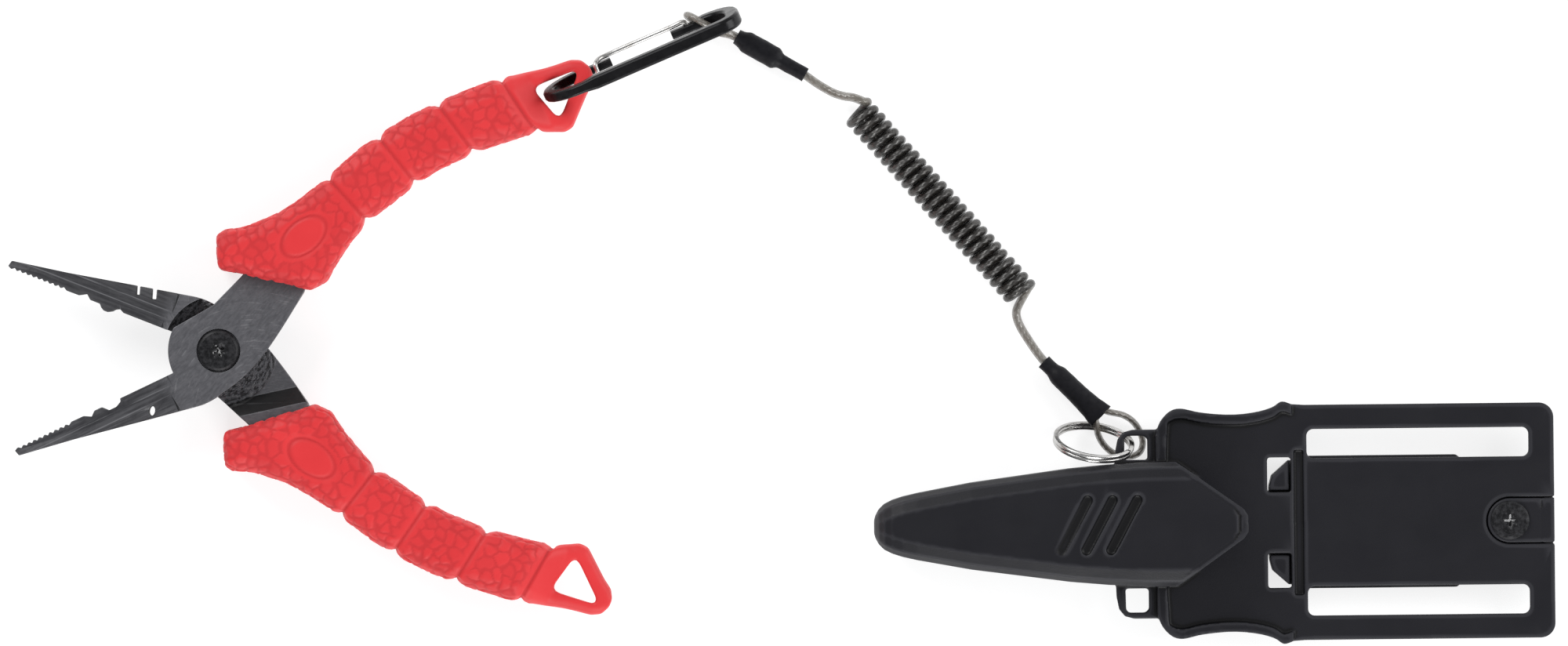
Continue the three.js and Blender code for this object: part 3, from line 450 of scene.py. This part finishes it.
def catmull_rom(points, steps):
    """Points evenly spaced along the centripetal Catmull-Rom curve through the given ones."""
    p = np.asarray(points, float)
    p = np.vstack([2 * p[0] - p[1], p, 2 * p[-1] - p[-2]])
    fine = []
    for a, b, c, d in zip(p, p[1:], p[2:], p[3:]):
        t1 = np.linalg.norm(b - a) ** 0.5
        t2 = t1 + np.linalg.norm(c - b) ** 0.5
        t3 = t2 + np.linalg.norm(d - c) ** 0.5
        t = np.linspace(t1, t2, 24, endpoint=False)[:, None]
        ab = (t1 - t) / t1 * a + t / t1 * b
        bc = (t2 - t) / (t2 - t1) * b + (t - t1) / (t2 - t1) * c
        cd = (t3 - t) / (t3 - t2) * c + (t - t2) / (t3 - t2) * d
        abc = (t2 - t) / t2 * ab + t / t2 * bc
        bcd = (t3 - t) / (t3 - t1) * bc + (t - t1) / (t3 - t1) * cd
        fine.append((t2 - t) / (t2 - t1) * abc + (t - t1) / (t2 - t1) * bcd)
    return resample(np.vstack(fine + [p[-2:-1]]), steps)


def resample(line, steps):
    along = np.concatenate([[0], np.cumsum(np.linalg.norm(np.diff(line, axis=0), axis=1))])
    at = np.linspace(0, along[-1], steps + 1)
    return np.stack([np.interp(at, along, line[:, k]) for k in range(3)], axis=1)


def path_length(line):
    return float(np.linalg.norm(np.diff(line, axis=0), axis=1).sum())


def moving_frames(path):
    """Tangent, normal and binormal along a path, with no twist."""
    tangent = np.gradient(path, axis=0)
    tangent /= np.linalg.norm(tangent, axis=1)[:, None]
    normal = np.zeros_like(path)
    start = np.array((0, 0, 1.0)) if abs(tangent[0][2]) < 0.8 else np.array((1.0, 0, 0))
    last = start
    for i, t in enumerate(tangent):
        last = last - t * np.dot(last, t)
        last /= np.linalg.norm(last)
        normal[i] = last
    return tangent, normal, np.cross(tangent, normal)


def sweep(path, section):
    """Vertices and faces of a closed bar: section[i] is the outline at point i, across the path."""
    _, normal, binormal = moving_frames(path)
    count = section.shape[1]
    points = path[:, None] + section[..., :1] * normal[:, None] + section[..., 1:] * binormal[:, None]
    faces = []
    for i in range(len(path) - 1):
        for j in range(count):
            a, b = i * count + j, i * count + (j + 1) % count
            faces.append((a, b, b + count, a + count))
    faces.append(tuple(reversed(range(count))))
    faces.append(tuple(range((len(path) - 1) * count, len(path) * count)))
    return points.reshape(-1, 3), faces


def circle(radius, sides):
    angle = np.linspace(0, 2 * math.pi, sides, endpoint=False)
    return radius * np.stack([np.cos(angle), np.sin(angle)], axis=1)


def rod(name, path, radius, sides, matrix, material):
    section = np.repeat(circle(radius, sides)[None], len(path), axis=0)
    return new_piece(name, *sweep(path, section), matrix, material)


def cable(name, path, radius, matrix, wound=None):
    """A vinyl jacket and the lobed wire inside it; wound says where along it the cord is coiled and the
    jacket is painted darker as shade.
    """
    sides = 14
    jacket = rod(name + "_jacket", path, radius, sides, matrix, VINYL)
    depth = np.zeros(len(path)) if wound is None else wound
    # The wound attribute carries painted shade onto the coiled part of the jacket.
    shade = jacket.data.attributes.new("wound", "FLOAT", "POINT")
    shade.data.foreach_set("value", np.repeat(depth, sides))
    fine = resample(path, int(1.75 * len(path)))
    along = np.linspace(0, path_length(path), len(fine))
    angle = np.linspace(0, 2 * math.pi, 12, endpoint=False)
    lobes = radius * (0.6 + 0.1 * np.cos(3 * (angle[None] - 2 * math.pi * along[:, None] / 5.0)))
    section = lobes[..., None] * np.stack([np.cos(angle), np.sin(angle)], axis=1)
    core = new_piece(name + "_wire", *sweep(fine, section), matrix, CABLE_STEEL)
    return jacket, core


def evaluated(piece):
    """The mesh that a piece's modifiers make; the piece itself is removed."""
    depsgraph = bpy.context.evaluated_depsgraph_get()
    mesh = bpy.data.meshes.new_from_object(piece.evaluated_get(depsgraph))
    bpy.data.objects.remove(piece)
    return mesh


def cad_copy(node, name):
    """A new object with a copy of a CAD node's mesh, its coincident points joined."""
    mesh = NODES[node].data.copy()
    mesh.name = name
    mesh.materials.clear()
    piece = bpy.data.objects.new(name, mesh)
    COLLECTION.objects.link(piece)
    weld = piece.modifiers.new("weld", "WELD")
    weld.merge_threshold = 0.00001
    return piece


def finished(mesh, name, material, body, node):
    """A piece that stands for a CAD node, from its final mesh."""
    mesh.name = name
    mesh.materials.clear()
    mesh.materials.append(material)
    piece = bpy.data.objects.new(name, mesh)
    COLLECTION.objects.link(piece)
    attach(piece, body)
    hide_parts(node)
    return piece


def softened(node, name, material, body, width=0.25, segments=2, angle=32, sharp=20):
    """The CAD node again, with its edges rounded as a real edge is, and its faces shaded flat."""
    piece = cad_copy(node, name)
    flat = piece.modifiers.new("flat", "DECIMATE")
    flat.decimate_type = "DISSOLVE"
    flat.angle_limit = math.radians(0.6)
    bevel = piece.modifiers.new("edges", "BEVEL")
    bevel.width = width * MM
    bevel.segments = segments
    bevel.limit_method = "ANGLE"
    bevel.angle_limit = math.radians(angle)
    bevel.miter_outer = "MITER_ARC"
    bevel.use_clamp_overlap = False
    bevel.harden_normals = False
    mesh = evaluated(piece)
    mesh.shade_smooth()
    mesh.set_sharp_from_angle(angle=math.radians(sharp))
    piece = bpy.data.objects.new(name, mesh)
    COLLECTION.objects.link(piece)
    even = piece.modifiers.new("even", "WEIGHTED_NORMAL")
    even.keep_sharp = True
    even.weight = 100
    return finished(evaluated(piece), name, material, body, node)


def store_cavity(mesh, passes=10):
    """Attribute "cavity": how far each point lies below its surroundings, in millimetres."""
    count = len(mesh.vertices)
    co, normal = np.empty(count * 3), np.empty(count * 3)
    mesh.vertices.foreach_get("co", co)
    mesh.vertices.foreach_get("normal", normal)
    co, normal = co.reshape(-1, 3), normal.reshape(-1, 3)
    pairs = np.empty(len(mesh.edges) * 2, dtype=int)
    mesh.edges.foreach_get("vertices", pairs)
    a, b = pairs.reshape(-1, 2).T
    degree = np.bincount(np.concatenate([a, b]), minlength=count)
    even = co
    for _ in range(passes):
        sums = [np.bincount(a, even[b, k], count) + np.bincount(b, even[a, k], count) for k in range(3)]
        even = np.stack(sums, axis=1) / degree[:, None]
    cavity = mesh.attributes.new("cavity", "FLOAT", "POINT")
    cavity.data.foreach_set("value", ((even - co) * normal).sum(axis=1))


def moulded(node, name, material, body, voxel=0.3, passes=4, keep=0.3):
    """The CAD node again, with every edge and inside corner rounded as moulded plastic is."""
    piece = cad_copy(node, name)
    piece.data.transform(Matrix.Scale(1 / MM, 4))
    piece.modifiers[0].merge_threshold = 0.01
    remesh = piece.modifiers.new("even", "REMESH")
    remesh.mode = "VOXEL"
    remesh.voxel_size = voxel
    smooth = piece.modifiers.new("round", "SMOOTH")
    smooth.factor = 0.5
    smooth.iterations = passes
    mesh = evaluated(piece)
    store_cavity(mesh)
    piece = bpy.data.objects.new(name, mesh)
    COLLECTION.objects.link(piece)
    fewer = piece.modifiers.new("fewer", "DECIMATE")
    fewer.ratio = keep
    mesh = evaluated(piece)
    mesh.transform(SCENE_MM)
    mesh.shade_smooth()
    return finished(mesh, name, material, body, node)


# ---------------------------------------------------------------- lanyard


def coil_path():
    """The helix of the curly cord; cord_path eases both its ends out into the leads."""
    axis = COIL_END - COIL_START
    length = np.linalg.norm(axis)
    axis /= length
    up = np.array((0, 0, 1.0))
    side = np.cross(up, axis)
    side *= np.sign(np.dot(side, (1, 0, 0)))
    first = math.radians(150)
    turns = round(length / HELIX_PITCH) - 1 + 0.23
    points = []
    per_turn = 40
    count = int(turns * per_turn)
    wander = np.random.default_rng(7).normal(0, 0.05, (60, 2))
    for i in range(count + 1):
        phi = first + 2 * math.pi * i / per_turn
        share = i / count
        uneven = np.array([np.interp(share * 59, range(60), wander[:, k]) for k in (0, 1)])
        r = HELIX_R + uneven[0]
        along = CORD_R + (length - 2 * CORD_R) * share + uneven[1]
        points.append(COIL_START + axis * along + r * (-side * math.cos(phi) + up * math.sin(phi)))
    return np.array(points)


def cord_path():
    """The whole route, and for each point how far it is into the coil, from 0 to 1."""
    coil = coil_path()
    head = catmull_rom(HEAD_LEAD + [tuple(coil[0]), tuple(coil[5])], 120)
    into = np.linalg.norm(head - coil[0], axis=1).argmin()
    tail = catmull_rom([tuple(coil[-6]), tuple(coil[-1])] + TAIL_LEAD, 130)
    out = np.linalg.norm(tail - coil[-1], axis=1).argmin()
    path = resample(np.vstack([head[:into], coil, tail[out + 1 :]]), 1500)
    start = path_length(head[:into]) + 2
    end = path_length(path) - path_length(tail[out + 1 :]) - 2
    along = np.linspace(0, path_length(path), len(path))
    wound = smoothstep(start - 3, start + 3, along) * smoothstep(end + 3, end - 3, along)
    return path, wound


def cord():
    """The whole cord as one tube of smoky vinyl, with the stranded wire inside it."""
    path, wound = cord_path()
    jacket, core = cable("cord", path, CORD_R, SCENE_MM, wound)
    for piece in (jacket, core):
        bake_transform(piece)
    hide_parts("head_lead", "lanyard_coil", "tail_lead")
    return jacket, core, path


def sleeve(name, stations, matrix, seed):
    """A heat-shrunk tube: an uneven skin over what it covers, open at both ends."""
    table = np.array(stations, float)
    x = np.linspace(table[0, 0], table[-1, 0], 60)
    soft = [np.interp(x, table[:, 0], table[:, k]) for k in (1, 2)]
    kernel = np.hanning(7) / np.hanning(7).sum()
    soft = [np.convolve(np.pad(s, 3, "edge"), kernel, "valid") for s in soft]
    angle = np.linspace(0, 2 * math.pi, 28, endpoint=False)
    random = np.random.default_rng(seed)
    ripple = random.normal(0, 1, (len(x), len(angle)))
    for _ in range(3):
        ripple = (ripple + np.roll(ripple, 1, 1) + np.roll(ripple, -1, 1)) / 3
        ripple[1:-1] = (ripple[:-2] + ripple[1:-1] + ripple[2:]) / 3
    wall = 0.35
    rings = []
    for i, inset in [(i, 0.0) for i in range(len(x))] + [(i, wall) for i in reversed(range(len(x)))]:
        grow = 1 + 0.045 * ripple[i] * (inset == 0)
        wide, high = soft[0][i] - inset - 0.04, soft[1][i] - inset - 0.04
        squareness = 1 - 0.5 * max(0, 1 - high / wide)
        y, z = (np.sign(v) * np.abs(v) ** squareness * grow for v in (np.cos(angle), np.sin(angle)))
        rings.append(np.stack([np.full_like(angle, x[i]), wide * y, high * z], 1))
    count = len(angle)
    faces = []
    for i in range(len(rings)):
        after = (i + 1) % len(rings)
        for j in range(count):
            k = (j + 1) % count
            faces.append((i * count + j, i * count + k, after * count + k, after * count + j))
    return new_piece(name, np.vstack(rings), faces, matrix, SHRINK)


def lanyard():
    jacket, core, path = cord()
    head, tail = place(**HEAD_FITTING), place(**TAIL_FITTING)
    head_jacket, head_core = cable("head_loop", catmull_rom(HEAD_LOOP, 150), LOOP_R, head)
    tail_jacket, tail_core = cable("tail_loop", catmull_rom(TAIL_LOOP, 170), LOOP_R, SCENE_MM)
    head_sleeve = sleeve("head_shrink_tube", HEAD_SLEEVE, head, 3)
    tail_sleeve = sleeve("tail_shrink_tube", TAIL_SLEEVE, tail, 5)
    for piece in (head_jacket, head_core, head_sleeve):
        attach(piece, "lanyard_head")
    for piece in (tail_jacket, tail_core, tail_sleeve):
        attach(piece, "lanyard_tail")
    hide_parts("head_loop")
    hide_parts("tail_loop")
    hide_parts("head_sleeve")
    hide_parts("tail_sleeve")
    for node in ("head_ferrule", "tail_ferrule"):
        use_material(node, BRIGHT)


def use_material(node, material):
    mesh = NODES[node].data
    mesh.materials.clear()
    mesh.materials.append(material)


lanyard()


# ---------------------------------------------------------------- grips

GROOVES = [  # the outer and inner end of each groove across the grip
    ((42.5, 24.6), (45.5, 14.7)),
    ((57.6, 28.5), (60.1, 17.8)),
    ((74.0, 29.2), (76.0, 18.7)),
    ((90.7, 26.2), (92.3, 15.6)),
]
PAD = dict(centre=(30.6, 16.0), size=(6.3, 3.9), tilt=14.0)
CELL = 2.7
EYE_START = 93.5


def groove_distance(co):
    """Distance from each point to the nearest groove's middle."""
    nearest = np.full(len(co), 99.0)
    for outer, inner in GROOVES:
        direction = np.subtract(inner, outer)
        across = np.array((-direction[1], direction[0])) / np.linalg.norm(direction)
        nearest = np.minimum(nearest, np.abs((co[:, :2] - outer) @ across))
    return nearest


def pad_distance(co):
    """1 on the rim of the thumb pad, less inside it."""
    tilt = math.radians(PAD["tilt"])
    dx, dy = (co[:, :2] - PAD["centre"]).T
    u = (dx * math.cos(tilt) + dy * math.sin(tilt)) / PAD["size"][0]
    v = (dy * math.cos(tilt) - dx * math.sin(tilt)) / PAD["size"][1]
    return np.hypot(u, v)


def cell_height(co):
    """Pebbled cells with soft valleys between them: about 1 on a cell, 0 in a valley."""
    random = np.random.default_rng(11)
    drift = [noise.noise_vector(Vector(point) * 0.55) for point in co]
    co = co + 0.8 * np.array(drift)
    seeds = np.zeros((0, 3))
    for point in co[random.permutation(len(co))[:6000]]:
        if not len(seeds) or np.linalg.norm(seeds - point, axis=1).min() > CELL * 0.78:
            seeds = np.vstack([seeds, point])
    lift = random.uniform(0.5, 1.0, len(seeds))
    tree = kdtree.KDTree(len(seeds))
    for i, seed in enumerate(seeds):
        tree.insert(seed, i)
    tree.balance()
    height = np.empty(len(co))
    for i, point in enumerate(co):
        found = tree.find_n(point, 3)
        gap = found[1][2] - found[0][2]
        blur = 0.5 + 0.5 * lift[found[2][1]]
        height[i] = lift[found[0][1]] * min(1.0, gap / (1.15 * blur))
    return smoothstep(0.0, 1.0, height)


def wrinkles(co):
    """Fine unevenness of the dipped skin, in millimetres."""
    return np.array([0.07 * noise.fractal(Vector(point) * 0.9, 0.9, 2.2, 3) for point in co])


def grip_mesh():
    """The shape of both grips in a half's own frame: the CAD solid, smoothed and given its relief."""
    piece = cad_copy("front_grip", "grip_base")
    piece.data.transform(FRONT.inverted())
    piece.modifiers[0].merge_threshold = 0.01
    remesh = piece.modifiers.new("even", "REMESH")
    remesh.mode = "VOXEL"
    remesh.voxel_size = 0.42
    smooth = piece.modifiers.new("round", "SMOOTH")
    smooth.factor = 0.5
    smooth.iterations = 14
    mesh = evaluated(piece)
    count = len(mesh.vertices)
    co = np.empty(count * 3)
    normal = np.empty(count * 3)
    mesh.vertices.foreach_get("co", co)
    mesh.vertices.foreach_get("normal", normal)
    co, normal = co.reshape(-1, 3), normal.reshape(-1, 3)
    side = np.abs(normal[:, 2])
    groove = groove_distance(co)
    pad = pad_distance(co)
    on_pad = (pad < 2) * smoothstep(0.5, 0.8, side)
    textured = smoothstep(0.8, 2.4, groove) * smoothstep(EYE_START, EYE_START - 3, co[:, 0])
    textured *= 1 - on_pad * smoothstep(1.32, 1.18, pad)
    cells = cell_height(co)
    flank = smoothstep(0.75, 0.3, side)
    height = (0.21 + 0.18 * flank) * cells * textured + wrinkles(co) * textured
    height -= 0.5 * np.exp(-((groove / 0.45) ** 2)) + 0.42 * flank * np.exp(-((groove / 1.0) ** 2))
    height -= 0.3 * on_pad * np.exp(-(((pad - 1) / 0.09) ** 2))
    height += 0.22 * on_pad * smoothstep(1.02, 0.8, pad)
    mesh.vertices.foreach_set("co", (co + normal * (height[:, None] - 0.12)).ravel())
    valley = (1 - cells) * textured + np.exp(-((groove / 0.5) ** 2))
    valley += on_pad * np.exp(-(((pad - 1) / 0.09) ** 2))
    relief = mesh.attributes.new("relief", "FLOAT", "POINT")
    relief.data.foreach_set("value", np.clip(1 - valley, 0, 1))
    mesh.materials.clear()
    mesh.materials.append(RUBBER)
    mesh.shade_smooth()
    return mesh


def grips():
    shared = grip_mesh()
    for node, name, matrix, body in (
        ("front_grip", "front_dipped_grip", FRONT, "pliers_front"),
        ("rear_grip", "rear_dipped_grip", REAR, "pliers_rear"),
    ):
        mesh = shared.copy()
        mesh.name = name
        mesh.transform(matrix)
        piece = bpy.data.objects.new(name, mesh)
        COLLECTION.objects.link(piece)
        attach(piece, body)
        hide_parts(node)


# ---------------------------------------------------------------- pliers, carabiner, ring and sheath


def pliers():
    front = softened("front_half", "front_steel_half", STEEL_FRONT, "pliers_front", 0.18)
    rear = softened("rear_half", "rear_steel_half", STEEL_REAR, "pliers_rear", 0.18)
    screw = softened("pivot_screw", "pivot_screw_head", PIVOT_BLACK, "pliers_front", 0.15)
    nut = softened("pivot_nut", "pivot_hex_nut", PIVOT_BLACK, "pliers_front", 0.15)


def opening_spring():
    """The torsion spring inside the hubs, with one leg let into each half; it winds up as the handles
    close, though here it keeps one shape.
    """
    rise, reach = 0.95, 2.8
    share = np.linspace(0, 1, 22)
    angle = math.radians(SPRING_START) + 2 * math.pi * SPRING_TURNS * share
    turns = np.stack([SPRING_R * np.cos(angle), SPRING_R * np.sin(angle), rise * (2 * share - 1)], axis=1)
    legs = [(*turns[0][:2], -reach), (*turns[-1][:2], reach)]
    path = catmull_rom(np.vstack([legs[0], turns, legs[1]]), 240)
    spring = rod("opening_spring", path, SPRING_WIRE_R, 12, FRONT, BRIGHT)
    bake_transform(spring)
    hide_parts("pivot_spring")


def carabiner():
    bar = softened("carabiner_frame", "carabiner_bar", BLACK_ALUMINIUM, "carabiner", 0.22, angle=20)
    y = -CARABINER_DEPTH
    side = 1.0 + 0.3 + GATE_WIRE_R
    leg = [
        (GATE_PIVOT_X, y, 0.25), (GATE_PIVOT_X, y, 1.3), (GATE_PIVOT_X - 0.5, y, side), (9, y, side),
        (-8, y, side), (-10.4, y + 0.9, side), (-11.6, y + 2.3, 1.2),
    ]  # fmt: skip
    route = leg + [(px, py, -pz) for px, py, pz in reversed(leg)]
    path = catmull_rom(route, 160)
    gate = rod("gate_wire", path, GATE_WIRE_R, 14, place(**CARABINER), BRIGHT)
    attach(gate, "gate")
    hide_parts("carabiner_gate")


def split_ring():
    """Two turns of flat wire that step over each other, as a key ring does."""
    per_turn = 90
    turns = 1.94
    angle = np.linspace(0, 2 * math.pi * turns, int(per_turn * turns))
    half = 0.47
    wire_w, wire_t, r = 0.6, 0.44, 0.16
    corners = []
    for cx, cy, start in ((1, 1, 0), (-1, 1, 90), (-1, -1, 180), (1, -1, 270)):
        for step in (0, 45, 90):
            a = math.radians(start + step)
            corners.append((cx * (wire_w - r) + r * math.cos(a), cy * (wire_t - r) + r * math.sin(a)))
    section = np.array(corners)
    middle = math.pi * turns
    level = half * (2 * smoothstep(-0.35, 0.35, (angle - middle)) - 1)
    vertices, faces = [], []
    for a, z in zip(angle, level):
        for w, t in section:
            vertices.append(((RING_R + w) * math.cos(a), (RING_R + w) * math.sin(a), z + t))
    count = len(section)
    for i in range(len(angle) - 1):
        for j in range(count):
            p, q = i * count + j, i * count + (j + 1) % count
            faces.append((p, p + count, q + count, q))
    faces.append(tuple(range(count)))
    faces.append(tuple(reversed(range((len(angle) - 1) * count, len(angle) * count))))
    ring = new_piece("key_ring", vertices, faces, place(**RING), RING_STEEL)
    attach(ring, "split_ring")
    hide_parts("split_ring")


def sheath():
    body = moulded("sheath_body", "moulded_sheath", NYLON, "sheath")
    clip = moulded("belt_clip", "moulded_clip", NYLON, "sheath")
    screw = softened("clip_screw", "clip_screw_head", CLIP_BLACK, "sheath", 0.12)


grips()
pliers()
opening_spring()
carabiner()
split_ring()
sheath()


# ---------------------------------------------------------------- floor and light


def studio():
    g = Graph("floor_paper", Roughness=0.85)
    g.shader.inputs["Specular IOR Level"].default_value = 0.2
    g.shader.inputs["Emission Color"].default_value = rgb(1, 1, 1)
    g.shader.inputs["Emission Strength"].default_value = 0.75
    fleck = g.noise(g.coords((40, 40, 40)), detail=2)
    g.feed(g.shader, {"Base Color": g.blend(fleck, rgb(0.36, 0.36, 0.36), rgb(0.4, 0.4, 0.4))})
    mesh = bpy.data.meshes.new("floor")
    size = 3.0
    corners = [(-size, -size, 0), (size, -size, 0), (size, size, 0), (-size, size, 0)]
    mesh.from_pydata(corners, [], [(0, 1, 2, 3)])
    mesh.materials.append(g.material)
    floor = bpy.data.objects.new("floor", mesh)
    floor.location.z = -0.00015
    COLLECTION.objects.link(floor)
    world = bpy.data.worlds.new("studio")
    world.use_nodes = True
    sky = world.node_tree.nodes["Background"]
    sky.inputs["Color"].default_value = rgb(0.97, 0.98, 1.0)
    sky.inputs["Strength"].default_value = 0.42
    bpy.context.scene.world = world
    for name, where, power, width in (
        ("key", (-1.0, 1.2, 1.0), 19, 0.9),
        ("fill", (1.5, 0.4, 0.9), 16, 1.0),
        ("low", (0.1, -1.5, 0.8), 19, 0.9),
    ):
        light = bpy.data.lights.new(name, "AREA")
        light.energy = power
        light.size = width
        lamp = bpy.data.objects.new(name, light)
        lamp.location = where
        lamp.rotation_euler = (-Vector(where)).to_track_quat("-Z", "Y").to_euler()
        COLLECTION.objects.link(lamp)


studio()
